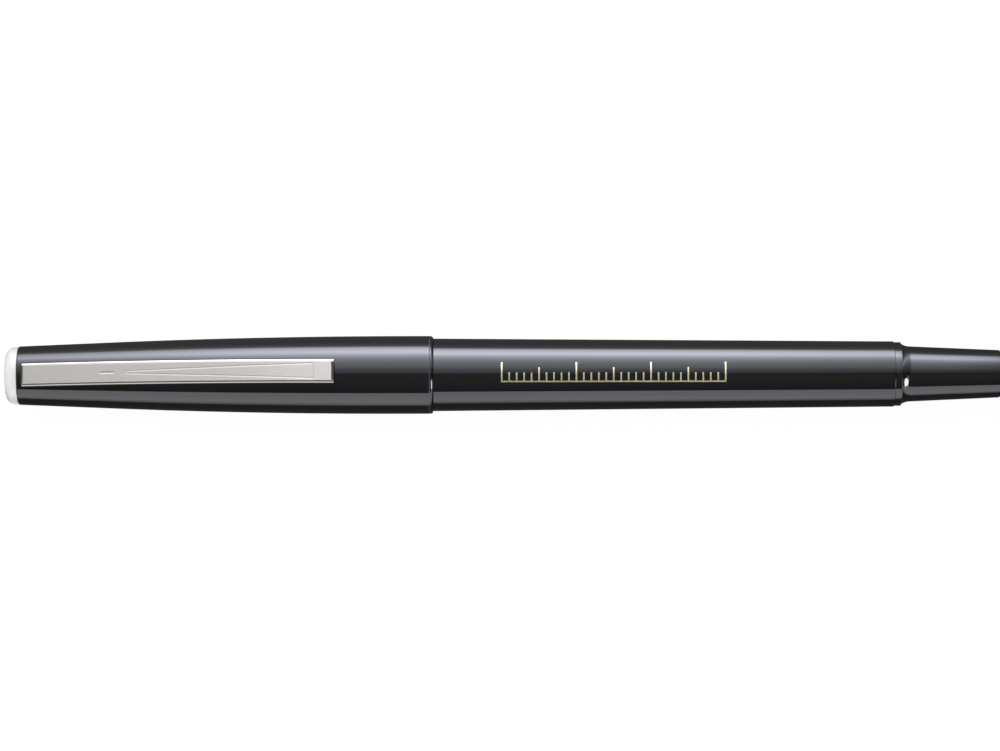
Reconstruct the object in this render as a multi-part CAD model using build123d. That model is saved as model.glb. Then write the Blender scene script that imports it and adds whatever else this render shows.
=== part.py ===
from build123d import *
import os

# A capped fineliner pen, in millimetres. It is drawn along X with its axis on Y = Z = 0 and the
# barrel's front face at X = 0. The cap is towards -X and its clip towards +Z. The last lines move
# every piece so that the pen lies on Z = 0 with its middle over the origin.

# Clearances
press_gap = 0.01
slide_gap = 0.05
seal_gap = 0.04
rim_gap = 0.03
end_gap = 0.1
cut_overrun = 1.0

# Barrel: a tapered tube with a counterbore in front and ribs inside
barrel_length = 62.0
barrel_front_diameter = 9.8
barrel_rear_diameter = 8.82
barrel_edge_round = 0.06
rib_count = 4
rib_width = 0.8
rib_height = 0.65
rib_root = 0.4
rib_margin = 1.5

# Front section: spigot in the barrel, seat for the cap, grip, nose land and nose cone
spigot_length = 9.4
spigot_chamfer = 0.4
seat_diameter = 7.6
seat_length = 9.0
grip_step = 0.1
grip_front_round = 0.25
nose_land_diameter = 5.3
nose_land_length = 4.5
nose_step = 0.3
nose_cone_step = 0.15
nose_tip_diameter = 2.4
nose_cone_length = 4.0
nose_tip_round = 0.2
reservoir_pocket_gap = 0.15
reservoir_pocket_depth = 13.5
holder_bore = 3.5
holder_wall_front = 4.5

# Ink reservoir: a fibre rod in a thin film sleeve
fibre_diameter = 5.0
film_thickness = 0.1

# Nib, its steel sleeve and its holder
nib_diameter = 1.2
nib_tip_diameter = 0.6
nib_tip_round = 0.15
nib_tip_cone = 0.5
nib_protrusion = 1.4
nib_insert = 4.0
sleeve_wall = 0.19
sleeve_mouth_diameter = 1.0
sleeve_mouth_cone = 1.3
sleeve_mouth_land = 1.1
sleeve_protrusion = 3.0
sleeve_grip = 2.5
holder_rear_gap = 3.5
holder_groove_count = 4
holder_groove_width = 0.5
holder_groove_depth = 0.4

# Tail plug: spigot in the barrel, flange, hollow fillet and tapered stub
tail_spigot_length = 6.5
tail_spigot_chamfer = 0.3
tail_flange_diameter = 8.6
tail_flange_length = 0.9
tail_flange_round = 0.08
tail_fillet_radius = 2.1
tail_fillet_turn = 32.0
tail_root_diameter = 7.4
tail_end_diameter = 6.38
tail_stub_length = 12.6
tail_end_round = 0.5
tail_bore_mouth_diameter = 4.8
tail_bore_end_diameter = 4.0
tail_end_wall = 1.8

# Cap shell: straight at the rim, then a long curve into a cone
cap_length = 56.0
cap_rim_diameter = 10.5
cap_end_diameter = 7.9
cap_straight_share = 0.0804
cap_corner_share = 0.427
cap_rim_round = 0.45
cap_end_chamfer = 0.15
cap_crease_offset = 0.62
cap_crease_width = 0.12
cap_crease_depth = 0.05
cap_mouth_length = 12.0
cap_mouth_chamfer = 0.3
cap_bore_end_diameter = 6.2
cap_end_wall = 4.4

# Cap end plug: a rounded head outside and a stem with a keyway inside
plug_head_diameter = 7.7
plug_head_length = 1.65
plug_head_round = 1.2
plug_stem_diameter = 5.2
plug_stem_gap = 0.4
plug_keyway_floor = 1.0

# Inner cap: a soft cup that seals round the nose land
liner_mouth_gap = 0.6
liner_mouth_chamfer_share = 0.48
liner_seal_length = 6.4
liner_chamber_diameter = 4.4
liner_end_wall = 1.2
nib_tip_room = 7.62

# Pocket clip: a folded steel channel with a leg, a foot and a lip
clip_length = 42.05
clip_root_offset = 0.8
clip_width = 3.25
clip_sheet = 0.35
clip_root_rise = 1.0
clip_tip_rise = 1.15
clip_root_bend = 0.15
clip_tip_bend = 0.4
clip_edge_round = 0.3
clip_flange_depth = 0.8
clip_lip_gap = 0.12
clip_root_skirt = 0.75
clip_leg_width = 2.4
clip_foot_length = 2.0
clip_foot_lift = 0.25
slot_side_gap = 0.15
stamp_width = 0.18
stamp_depth = 0.06
stamp_dash_start = 10.8
stamp_dash_length = 1.7
stamp_wedge_start = 14.0
stamp_wedge_length = 25.2
stamp_wedge_tip_width = 0.3
stamp_wedge_width = 2.0

# Diameters that follow what they hold or fit into
film_diameter = fibre_diameter + 2 * film_thickness
barrel_bore = film_diameter + 2 * (slide_gap + rib_height)
reservoir_pocket_diameter = film_diameter + 2 * reservoir_pocket_gap
grip_rear_diameter = seat_diameter - 2 * grip_step
grip_front_diameter = nose_land_diameter + 2 * nose_step
nose_cone_diameter = nose_land_diameter - 2 * nose_cone_step
sleeve_diameter = nib_diameter + 2 * (press_gap + sleeve_wall)

# Stations along the pen, worked out from the sizes above
tail_face_x = barrel_length
tail_spigot_x = barrel_length - tail_spigot_length
seat_front_x = -seat_length
cap_rim_x = -rim_gap
cap_end_x = cap_rim_x - cap_length
cap_stop_x = cap_end_x + cap_end_wall
plug_face_x = cap_end_x - plug_head_length
liner_floor_x = cap_stop_x + liner_end_wall
reservoir_front_x = end_gap - reservoir_pocket_depth
reservoir_rear_x = tail_spigot_x - end_gap

# The nib ends short of the inner cap's floor, so the grip takes the length that the cap leaves for it
nib_tip_x = liner_floor_x + nib_tip_room
nose_length = nose_land_length + nose_cone_length + sleeve_protrusion + nib_protrusion
grip_length = seat_front_x - nib_tip_x - nose_length
nose_step_x = seat_front_x - grip_length
nose_land_x = nose_step_x - nose_land_length
nose_tip_x = nose_land_x - nose_cone_length
sleeve_front_x = nose_tip_x - sleeve_protrusion
holder_front_x = nose_tip_x + holder_wall_front
holder_length = -reservoir_pocket_depth - holder_rear_gap - holder_front_x

# The cap's outer line: the rim's straight and the end's cone meet at a corner that the curve rounds
cap_straight_x = cap_rim_x - cap_straight_share * cap_length
cap_corner_x = cap_rim_x - cap_corner_share * cap_length
cap_cone_x = 2 * cap_corner_x - cap_straight_x
cap_slope = (cap_rim_diameter - cap_end_diameter) / 2 / (cap_corner_x - cap_end_x)


def cap_radius(x):
    """The cap's outer radius at a station."""
    run = cap_straight_x - x
    half_curve = cap_straight_x - cap_corner_x
    if run <= 0:
        return cap_rim_diameter / 2
    if run <= 2 * half_curve:
        return cap_rim_diameter / 2 - cap_slope * run**2 / (4 * half_curve)
    return cap_rim_diameter / 2 - cap_slope * (run - half_curve)


def turned(*outline):
    """A solid turned about the pen's axis from the lines that close one half section."""
    return revolve(make_face(outline), Axis.X)


def quarter_round(start, end):
    """A quarter circle between two points of an outline, bulging away from the pen's axis."""
    radius = abs(end[0] - start[0])
    return RadiusArc(start, end, radius)


def make_barrel():
    front = barrel_front_diameter / 2
    rear = barrel_rear_diameter / 2
    bore = barrel_bore / 2
    counterbore = seat_diameter / 2 + press_gap
    edge = barrel_edge_round
    tube = turned(
        quarter_round((0, front - edge), (edge, front)),
        Line((edge, front), (barrel_length - edge, rear)),
        quarter_round((barrel_length - edge, rear), (barrel_length, rear - edge)),
        Polyline(
            (barrel_length, rear - edge),
            (barrel_length, bore),
            (spigot_length + end_gap, bore),
            (spigot_length + end_gap, counterbore),
            (0, counterbore),
            (0, front - edge),
        ),
    )
    rib_inner = film_diameter / 2 + slide_gap
    rib_depth = rib_height + rib_root
    rib_start = spigot_length + end_gap
    rib_length = tail_spigot_x - rib_margin - rib_start
    rib = Pos(rib_start + rib_length / 2, 0, rib_inner + rib_depth / 2)
    rib *= Box(rib_length, rib_width, rib_depth)
    for turn in range(rib_count):
        tube += Rot(360 / rib_count * turn, 0, 0) * rib
    return tube


def make_front_section():
    seat = seat_diameter / 2
    pocket = reservoir_pocket_diameter / 2
    holder = holder_bore / 2
    sleeve = sleeve_diameter / 2 + press_gap
    grip_front = grip_front_diameter / 2
    tip = nose_tip_diameter / 2
    return turned(
        Polyline(
            (spigot_length, pocket),
            (spigot_length, seat - spigot_chamfer),
            (spigot_length - spigot_chamfer, seat),
            (seat_front_x, seat),
            (seat_front_x, grip_rear_diameter / 2),
            (nose_step_x + grip_front_round, grip_front),
        ),
        quarter_round(
            (nose_step_x, grip_front - grip_front_round),
            (nose_step_x + grip_front_round, grip_front),
        ),
        Polyline(
            (nose_step_x, grip_front - grip_front_round),
            (nose_step_x, nose_land_diameter / 2),
            (nose_land_x, nose_land_diameter / 2),
            (nose_land_x, nose_cone_diameter / 2),
            (nose_tip_x + nose_tip_round, tip),
        ),
        quarter_round((nose_tip_x, tip - nose_tip_round), (nose_tip_x + nose_tip_round, tip)),
        Polyline(
            (nose_tip_x, tip - nose_tip_round),
            (nose_tip_x, sleeve),
            (holder_front_x, sleeve),
            (holder_front_x, holder),
            (-reservoir_pocket_depth, holder),
            (-reservoir_pocket_depth, pocket),
            (spigot_length, pocket),
        ),
    )


def make_ink_reservoir():
    radius = fibre_diameter / 2
    hole = nib_diameter / 2 + press_gap
    hole_end_x = reservoir_front_x + nib_insert + end_gap
    return turned(
        Polyline(
            (hole_end_x, 0),
            (hole_end_x, hole),
            (reservoir_front_x, hole),
            (reservoir_front_x, radius),
            (reservoir_rear_x, radius),
            (reservoir_rear_x, 0),
            close=True,
        )
    )


def make_reservoir_film():
    inner = fibre_diameter / 2
    outer = film_diameter / 2
    return turned(
        Polyline(
            (reservoir_front_x, inner),
            (reservoir_front_x, outer),
            (reservoir_rear_x, outer),
            (reservoir_rear_x, inner),
            close=True,
        )
    )


def make_nib():
    rod = nib_diameter / 2
    tip = nib_tip_diameter / 2
    rear_x = reservoir_front_x + nib_insert
    shoulder_x = sleeve_front_x + sleeve_mouth_land + end_gap
    return turned(
        Polyline(
            (nib_tip_x, 0),
            (nib_tip_x, tip - nib_tip_round),
        ),
        quarter_round((nib_tip_x, tip - nib_tip_round), (nib_tip_x + nib_tip_round, tip)),
        Polyline(
            (nib_tip_x + nib_tip_round, tip),
            (shoulder_x, tip),
            (shoulder_x + nib_tip_cone, rod),
            (rear_x, rod),
            (rear_x, 0),
            (nib_tip_x, 0),
        ),
    )


def make_nib_sleeve():
    outer = sleeve_diameter / 2
    bore = nib_diameter / 2 + press_gap
    mouth = nib_tip_diameter / 2 + press_gap
    rear_x = nose_tip_x + sleeve_grip
    return turned(
        Polyline(
            (sleeve_front_x, mouth),
            (sleeve_front_x, sleeve_mouth_diameter / 2),
            (sleeve_front_x + sleeve_mouth_cone, outer),
            (rear_x, outer),
            (rear_x, bore),
            (sleeve_front_x + sleeve_mouth_land + nib_tip_cone, bore),
            (sleeve_front_x + sleeve_mouth_land, mouth),
            close=True,
        )
    )


def make_nib_holder():
    outer = holder_bore / 2 - press_gap
    bore = nib_diameter / 2 + press_gap
    rear_x = holder_front_x + holder_length
    bush = turned(
        Polyline(
            (holder_front_x, bore),
            (holder_front_x, outer),
            (rear_x, outer),
            (rear_x, bore),
            close=True,
        )
    )
    groove_height = holder_groove_depth + cut_overrun
    groove = Pos(holder_front_x + holder_length / 2, 0, outer + cut_overrun - groove_height / 2)
    groove *= Box(holder_length + 2 * cut_overrun, holder_groove_width, groove_height)
    for turn in range(holder_groove_count):
        bush -= Rot(360 / holder_groove_count * turn, 0, 0) * groove
    return bush


def make_tail_plug():
    spigot = barrel_bore / 2 - press_gap
    flange = tail_flange_diameter / 2
    flange_rear_x = tail_face_x + tail_flange_length
    edge = tail_flange_round
    root = tail_root_diameter / 2
    end = tail_end_diameter / 2
    taper = (root - end) / tail_stub_length
    fillet_at_zero = JernArc((0, root), (-1, taper), tail_fillet_radius, -tail_fillet_turn)
    root_x = flange_rear_x - (fillet_at_zero @ 1).X
    fillet_arc = Pos(root_x, 0, 0) * fillet_at_zero
    fillet_top = (fillet_arc @ 1).Y
    end_x = root_x + tail_stub_length
    bore_end_x = end_x - tail_end_wall
    return turned(
        Polyline(
            (tail_spigot_x, tail_bore_mouth_diameter / 2),
            (tail_spigot_x, spigot - tail_spigot_chamfer),
            (tail_spigot_x + tail_spigot_chamfer, spigot),
            (tail_face_x, spigot),
            (tail_face_x, flange - edge),
        ),
        quarter_round((tail_face_x, flange - edge), (tail_face_x + edge, flange)),
        Line((tail_face_x + edge, flange), (flange_rear_x - edge, flange)),
        quarter_round((flange_rear_x - edge, flange), (flange_rear_x, flange - edge)),
        Line((flange_rear_x, flange - edge), (flange_rear_x, fillet_top)),
        fillet_arc,
        Line((root_x, root), (end_x - tail_end_round, end + taper * tail_end_round)),
        Spline(
            (end_x - tail_end_round, end + taper * tail_end_round),
            (end_x, end - tail_end_round),
            tangents=((1, -taper), (0, -1)),
        ),
        Polyline(
            (end_x, end - tail_end_round),
            (end_x, 0),
            (bore_end_x, 0),
            (bore_end_x, tail_bore_end_diameter / 2),
            (tail_spigot_x, tail_bore_mouth_diameter / 2),
        ),
    )


def make_cap_shell():
    rim = cap_rim_diameter / 2
    end = cap_end_diameter / 2
    mouth = seat_diameter / 2 + slide_gap
    bore_end = cap_bore_end_diameter / 2
    plug_bore = plug_stem_diameter / 2 + press_gap
    crease_x = cap_rim_x - cap_crease_offset
    end_chamfer_x = cap_end_x + cap_end_chamfer
    shell = turned(
        Line((cap_end_x, plug_bore), (cap_end_x, end - cap_end_chamfer)),
        Line((cap_end_x, end - cap_end_chamfer), (end_chamfer_x, cap_radius(end_chamfer_x))),
        Line((end_chamfer_x, cap_radius(end_chamfer_x)), (cap_cone_x, cap_radius(cap_cone_x))),
        Bezier(
            (cap_cone_x, cap_radius(cap_cone_x)),
            (cap_corner_x, rim),
            (cap_straight_x, rim),
        ),
        Polyline(
            (cap_straight_x, rim),
            (crease_x - cap_crease_width / 2, rim),
            (crease_x, rim - cap_crease_depth),
            (crease_x + cap_crease_width / 2, rim),
            (cap_rim_x - cap_rim_round, rim),
        ),
        quarter_round((cap_rim_x - cap_rim_round, rim), (cap_rim_x, rim - cap_rim_round)),
        Polyline(
            (cap_rim_x, rim - cap_rim_round),
            (cap_rim_x, mouth + cap_mouth_chamfer),
            (cap_rim_x - cap_mouth_chamfer, mouth),
            (cap_rim_x - cap_mouth_length, mouth),
            (cap_stop_x, bore_end),
            (cap_stop_x, plug_bore),
            (cap_end_x, plug_bore),
        ),
    )
    slot_length = clip_sheet + 2 * slot_side_gap
    slot_width = clip_leg_width + 2 * slot_side_gap
    slot_height = end + cut_overrun
    slot_middle_x = cap_end_x + clip_root_offset + clip_sheet / 2
    return shell - Pos(slot_middle_x, 0, slot_height / 2) * Box(slot_length, slot_width, slot_height)


def make_cap_end_plug():
    head = plug_head_diameter / 2
    stem = plug_stem_diameter / 2
    stem_end_x = cap_stop_x - plug_stem_gap
    plug = turned(
        Line((plug_face_x, 0), (plug_face_x, head - plug_head_round)),
        quarter_round((plug_face_x, head - plug_head_round), (plug_face_x + plug_head_round, head)),
        Polyline(
            (plug_face_x + plug_head_round, head),
            (cap_end_x, head),
            (cap_end_x, stem),
            (stem_end_x, stem),
            (stem_end_x, 0),
            (plug_face_x, 0),
        ),
    )
    keyway_start_x = cap_end_x + clip_root_offset - slot_side_gap
    keyway_length = stem_end_x - keyway_start_x + cut_overrun
    keyway_width = clip_leg_width + 2 * slot_side_gap
    keyway_height = stem - plug_keyway_floor + cut_overrun
    keyway = Pos(keyway_start_x + keyway_length / 2, 0, plug_keyway_floor + keyway_height / 2)
    return plug - keyway * Box(keyway_length, keyway_width, keyway_height)


def make_inner_cap():
    mouth_x = nose_step_x - liner_mouth_gap
    seal = nose_land_diameter / 2 + seal_gap
    chamber = liner_chamber_diameter / 2
    seal_end_x = mouth_x - liner_seal_length
    bore_end = cap_bore_end_diameter / 2
    bore_mouth = seat_diameter / 2 + slide_gap
    bore_taper = (bore_mouth - bore_end) / (cap_rim_x - cap_mouth_length - cap_stop_x)
    outer_end = bore_end - press_gap
    outer_mouth = outer_end + bore_taper * (mouth_x - cap_stop_x)
    chamfer = liner_mouth_chamfer_share * (outer_mouth - seal)
    return turned(
        Polyline(
            (cap_stop_x, 0),
            (cap_stop_x, outer_end),
            (mouth_x, outer_mouth),
            (mouth_x, seal + chamfer),
            (mouth_x - chamfer, seal),
            (seal_end_x, seal),
            (seal_end_x, chamber),
            (liner_floor_x, chamber),
            (liner_floor_x, 0),
            close=True,
        )
    )


def make_pocket_clip():
    half = clip_sheet / 2
    root_x = cap_end_x + clip_root_offset
    tip_x = root_x + clip_length
    root_z = cap_radius(root_x) + clip_root_rise
    tip_z = cap_radius(tip_x) + clip_tip_rise
    lip_z = cap_radius(tip_x) + clip_lip_gap
    foot_z = plug_keyway_floor + clip_foot_lift + half
    slope = (tip_z - root_z) / clip_length
    root_bend = clip_root_bend + half
    tip_bend = clip_tip_bend + half
    strip_line = FilletPolyline(
        (root_x + half, root_z - clip_root_skirt),
        (root_x + half, root_z - half),
        (tip_x - half, tip_z - half),
        (tip_x - half, lip_z),
        radius=(root_bend, tip_bend),
    )
    leg_line = FilletPolyline(
        (root_x + half, root_z - clip_root_skirt),
        (root_x + half, foot_z),
        (root_x + half + clip_foot_length, foot_z),
        radius=root_bend,
    )
    strip = extrude(Plane.XZ * trace(strip_line, clip_sheet), clip_width / 2, both=True)
    leg = extrude(Plane.XZ * trace(leg_line, clip_sheet), clip_leg_width / 2, both=True)
    flange_outline = Polyline(
        (root_x, root_z - clip_flange_depth),
        (root_x, root_z - root_bend - half),
        (root_x + root_bend + half, root_z),
        (tip_x - tip_bend - half, tip_z),
        (tip_x, tip_z - tip_bend - half),
        (tip_x, tip_z - clip_flange_depth),
        close=True,
    )
    flange = extrude(Plane.XZ * make_face(flange_outline), clip_sheet / 2, both=True)
    side_y = (clip_width - clip_sheet) / 2
    clip = strip + Pos(0, side_y, 0) * flange + Pos(0, -side_y, 0) * flange
    clip = fillet(face_edges(clip, root_x, root_z, slope), clip_edge_round) + leg
    return clip - stamped_lines(root_x, root_z, slope)


def face_edges(clip, root_x, root_z, slope):
    """The two long outer edges of the clip's face."""
    middle_x = root_x + clip_length / 2
    middle_z = root_z + slope * clip_length / 2
    along = clip.edges().filter_by(Axis((0, 0, 0), (1, 0, slope)))
    corners = [(middle_x, side * clip_width / 2, middle_z) for side in (-1, 1)]
    return [along.sort_by_distance(corner)[0] for corner in corners]


def stamped_lines(root_x, root_z, slope):
    """The cutter for the clip's stamped lines: a dash, then a long closed wedge."""
    face = Plane((root_x, 0, root_z), x_dir=(1, 0, slope), z_dir=(-slope, 0, 1))
    dash_end = stamp_dash_start + stamp_dash_length
    wedge_end = stamp_wedge_start + stamp_wedge_length
    dash = Line((stamp_dash_start, 0), (dash_end, 0))
    wedge = Polyline(
        (stamp_wedge_start, stamp_wedge_tip_width / 2),
        (wedge_end, stamp_wedge_width / 2),
        (wedge_end, -stamp_wedge_width / 2),
        (stamp_wedge_start, -stamp_wedge_tip_width / 2),
    )
    lines = trace(dash, stamp_width) + trace(wedge, stamp_width)
    return extrude(face * lines, stamp_depth, both=True)


pieces = {
    "barrel": make_barrel(),
    "front_section": make_front_section(),
    "ink_reservoir": make_ink_reservoir(),
    "reservoir_film": make_reservoir_film(),
    "nib": make_nib(),
    "nib_sleeve": make_nib_sleeve(),
    "nib_holder": make_nib_holder(),
    "tail_plug": make_tail_plug(),
    "cap_shell": make_cap_shell(),
    "cap_end_plug": make_cap_end_plug(),
    "inner_cap": make_inner_cap(),
    "pocket_clip": make_pocket_clip(),
}

tail_end_x = pieces["tail_plug"].bounding_box().max.X
place = Pos(-(plug_face_x + tail_end_x) / 2, 0, cap_rim_diameter / 2)
os.makedirs("parts", exist_ok=True)
for name, piece in pieces.items():
    export_step(place * piece, f"parts/{name}.step")
    print(name, (place * piece).bounding_box())
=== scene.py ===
import math

import bpy
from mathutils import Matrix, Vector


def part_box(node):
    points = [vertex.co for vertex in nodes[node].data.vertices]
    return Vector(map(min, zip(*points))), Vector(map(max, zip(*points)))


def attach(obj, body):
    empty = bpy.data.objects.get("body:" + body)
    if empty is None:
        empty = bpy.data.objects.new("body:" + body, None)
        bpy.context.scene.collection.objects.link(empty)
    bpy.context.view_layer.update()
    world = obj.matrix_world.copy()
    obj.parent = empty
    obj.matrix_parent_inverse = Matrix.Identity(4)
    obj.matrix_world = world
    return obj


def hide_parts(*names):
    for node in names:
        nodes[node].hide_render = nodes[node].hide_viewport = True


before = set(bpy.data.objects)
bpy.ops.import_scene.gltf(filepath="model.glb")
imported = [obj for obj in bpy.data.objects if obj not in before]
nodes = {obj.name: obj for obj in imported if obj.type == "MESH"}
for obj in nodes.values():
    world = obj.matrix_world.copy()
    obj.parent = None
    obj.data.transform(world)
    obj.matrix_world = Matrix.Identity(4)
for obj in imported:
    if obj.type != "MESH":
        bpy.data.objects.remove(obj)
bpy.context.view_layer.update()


# Barrel
# A tapered tube of polished black polystyrene, injection moulded and open at both ends.
# The front section presses into its counterbore and the tail plug into its rear end.
mm = 0.001
barrel_low, barrel_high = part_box("barrel")
axis_z = (barrel_low.z + barrel_high.z) / 2
barrel_front_radius = barrel_high.y
barrel_rear_radius = 4.41 * mm
rim_seam = 0.004 * mm
barrel_edge_round = 0.04 * mm
barrel_bore_radius = 3.3 * mm
barrel_counterbore_radius = 3.81 * mm
barrel_counterbore_depth = 9.5 * mm
turned_sides = 160
round_steps = 6
smooth_angle = math.radians(35)
quarter_turn = math.pi / 2


def arc(centre, radius, start, stop, steps=round_steps):
    """Points of a round in an outline, as (station, radius), between two angles in degrees."""
    station, height = centre
    turns = [math.radians(start + (stop - start) * step / steps) for step in range(steps + 1)]
    return [(station + radius * math.cos(turn), height + radius * math.sin(turn)) for turn in turns]


def turn_piece(name, outline, tube=False):
    """A turned piece: a circle at the outline's first point, extruded and scaled on from ring to ring.
    A tube's last ring is bridged to its first one; any other piece has both end rings filled flat."""
    station, radius = outline[0]
    bpy.ops.object.select_all(action="DESELECT")
    bpy.ops.mesh.primitive_circle_add(
        vertices=turned_sides,
        radius=radius,
        location=(station, 0, axis_z),
        rotation=(0, quarter_turn, 0),
    )
    bpy.ops.object.transform_apply(location=True, rotation=True, scale=True)
    piece = bpy.context.object
    piece.name = name
    bpy.ops.object.mode_set(mode="EDIT")
    bpy.ops.mesh.select_all(action="SELECT")
    for next_station, next_radius in outline[1:]:
        step = next_station - station
        growth = next_radius / radius
        bpy.ops.mesh.extrude_region_move(TRANSFORM_OT_translate={"value": (step, 0, 0)})
        bpy.ops.transform.resize(value=(1, growth, growth), center_override=(next_station, 0, axis_z))
        station, radius = next_station, next_radius
    bpy.ops.mesh.select_all(action="DESELECT")
    bpy.ops.mesh.select_non_manifold()
    if tube:
        bpy.ops.mesh.bridge_edge_loops()
    else:
        bpy.ops.mesh.fill_holes(sides=0)
    bpy.ops.mesh.select_all(action="SELECT")
    bpy.ops.mesh.normals_make_consistent(inside=False)
    bpy.ops.object.mode_set(mode="OBJECT")
    return piece


def pick(piece):
    """Selects one piece alone and makes it active."""
    bpy.ops.object.select_all(action="DESELECT")
    piece.select_set(True)
    bpy.context.view_layer.objects.active = piece


def apply_modifier(piece, kind, **settings):
    """Adds a modifier with its settings and applies it at once."""
    pick(piece)
    modifier = piece.modifiers.new(kind.title(), kind)
    for setting, value in settings.items():
        setattr(modifier, setting, value)
    bpy.ops.object.modifier_apply(modifier=modifier.name)


def smooth_faces(piece):
    """Shades round faces smooth, keeps edges sharp, and lets the large faces lead the normals."""
    pick(piece)
    bpy.ops.object.shade_smooth_by_angle(angle=smooth_angle)
    apply_modifier(piece, "WEIGHTED_NORMAL", keep_sharp=True)


def linear(hex_colour):
    """A hex sRGB colour as linear red, green, blue and alpha."""
    channels = [int(hex_colour[place:place + 2], 16) / 255 for place in (1, 3, 5)]
    return [c / 12.92 if c <= 0.04045 else ((c + 0.055) / 1.055) ** 2.4 for c in channels] + [1]


def new_material(name):
    """An empty node material with its output node."""
    material = bpy.data.materials.new(name)
    material.use_nodes = True
    material.node_tree.nodes.clear()
    material.node_tree.nodes.new("ShaderNodeOutputMaterial")
    return material


def add_node(material, kind, inputs, **settings):
    """Adds a node with its settings; each input is a value or another node's output."""
    tree = material.node_tree
    made = tree.nodes.new(kind)
    for setting, value in settings.items():
        setattr(made, setting, value)
    for socket, value in inputs.items():
        if isinstance(value, bpy.types.NodeSocket):
            tree.links.new(value, made.inputs[socket])
        else:
            made.inputs[socket].default_value = value
    return made


def show(material, shader):
    """Links a shader node to the material's output."""
    output = material.node_tree.nodes["Material Output"]
    material.node_tree.links.new(shader.outputs[0], output.inputs["Surface"])


def coat(piece, material):
    """Gives a whole piece one material."""
    piece.data.materials.clear()
    piece.data.materials.append(material)


# Polystyrene from a polished mould: mirror gloss with a very faint swell, and patches of slightly
# duller skin where the plastic flowed. Nearly all of a noise's values lie in the span.
polished_black = new_material("polished_black_polystyrene")
noise_span = {"From Min": 0.3, "From Max": 0.7}
flow_patch = 7 * mm
mould_swell = 2.5 * mm
mould_swell_height = 0.0012 * mm
place = add_node(polished_black, "ShaderNodeTexCoord", {})
flow = add_node(
    polished_black,
    "ShaderNodeTexNoise",
    {"Vector": place.outputs["Object"], "Scale": 1 / flow_patch, "Detail": 3},
)
gloss = add_node(
    polished_black,
    "ShaderNodeMapRange",
    {"Value": flow.outputs["Fac"], **noise_span, "To Min": 0.035, "To Max": 0.06},
)
swell = add_node(
    polished_black,
    "ShaderNodeTexNoise",
    {"Vector": place.outputs["Object"], "Scale": 1 / mould_swell, "Detail": 1},
)
skin = add_node(
    polished_black,
    "ShaderNodeBump",
    {"Height": swell.outputs["Fac"], "Strength": 1, "Distance": mould_swell_height},
)
plastic = add_node(
    polished_black,
    "ShaderNodeBsdfPrincipled",
    {
        "Base Color": linear("#0f0f11"),
        "Roughness": gloss.outputs["Result"],
        "IOR": 1.55,
        "Normal": skin.outputs["Normal"],
    },
)
show(polished_black, plastic)

barrel_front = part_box("cap_shell")[1].x + rim_seam
front_corner = (barrel_front + barrel_edge_round, barrel_front_radius - barrel_edge_round)
rear_corner = (barrel_high.x - barrel_edge_round, barrel_rear_radius - barrel_edge_round)
counterbore_end = barrel_low.x + barrel_counterbore_depth
barrel = turn_piece(
    "barrel_tube",
    [(barrel_front, barrel_counterbore_radius)]
    + arc(front_corner, barrel_edge_round, 180, 90)
    + arc(rear_corner, barrel_edge_round, 90, 0)
    + [
        (barrel_high.x, barrel_bore_radius),
        (counterbore_end, barrel_bore_radius),
        (counterbore_end, barrel_counterbore_radius),
    ],
    tube=True,
)
smooth_faces(barrel)
coat(barrel, polished_black)
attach(barrel, "barrel")
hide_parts("barrel")


# Front section
# The grip and nose, one black polystyrene moulding with a fine satin skin. Its spigot presses into
# the barrel, its seat carries the cap, and its nose grips the nib's sleeve.
section_low, section_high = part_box("front_section")
seat_radius = section_high.y
seat_length = 9 * mm
seat_edge_round = 0.08 * mm
spigot_chamfer = 0.4 * mm
grip_rear_radius = 3.7 * mm
grip_front_radius = 2.95 * mm
grip_front_round = 0.25 * mm
nose_land_radius = 2.65 * mm
nose_land_length = 4.5 * mm
nose_cone_radius = 2.5 * mm
nose_cone_length = 4 * mm
nose_tip_radius = 1.2 * mm
nose_tip_round = 0.2 * mm
sleeve_bore_radius = 0.81 * mm
holder_bore_radius = 1.75 * mm
holder_wall_front = 4.5 * mm
reservoir_pocket_radius = 2.75 * mm
reservoir_pocket_depth = 13.5 * mm
seat_front = barrel_low.x - seat_length
nose_land = section_low.x + nose_cone_length
nose_step = nose_land + nose_land_length
holder_front = section_low.x + holder_wall_front
pocket_floor = barrel_low.x - reservoir_pocket_depth
seat_corner = (seat_front + seat_edge_round, seat_radius - seat_edge_round)
grip_corner = (nose_step + grip_front_round, grip_front_radius - grip_front_round)
nose_corner = (section_low.x + nose_tip_round, nose_tip_radius - nose_tip_round)
section = turn_piece(
    "front_section_moulding",
    [
        (section_high.x, reservoir_pocket_radius),
        (section_high.x, seat_radius - spigot_chamfer),
        (section_high.x - spigot_chamfer, seat_radius),
    ]
    + arc(seat_corner, seat_edge_round, 90, 180)
    + [(seat_front, grip_rear_radius)]
    + arc(grip_corner, grip_front_round, 90, 180)
    + [
        (nose_step, nose_land_radius),
        (nose_land, nose_land_radius),
        (nose_land, nose_cone_radius),
    ]
    + arc(nose_corner, nose_tip_round, 90, 180)
    + [
        (section_low.x, sleeve_bore_radius),
        (holder_front, sleeve_bore_radius),
        (holder_front, holder_bore_radius),
        (pocket_floor, holder_bore_radius),
        (pocket_floor, reservoir_pocket_radius),
    ],
    tube=True,
)
smooth_faces(section)


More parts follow.
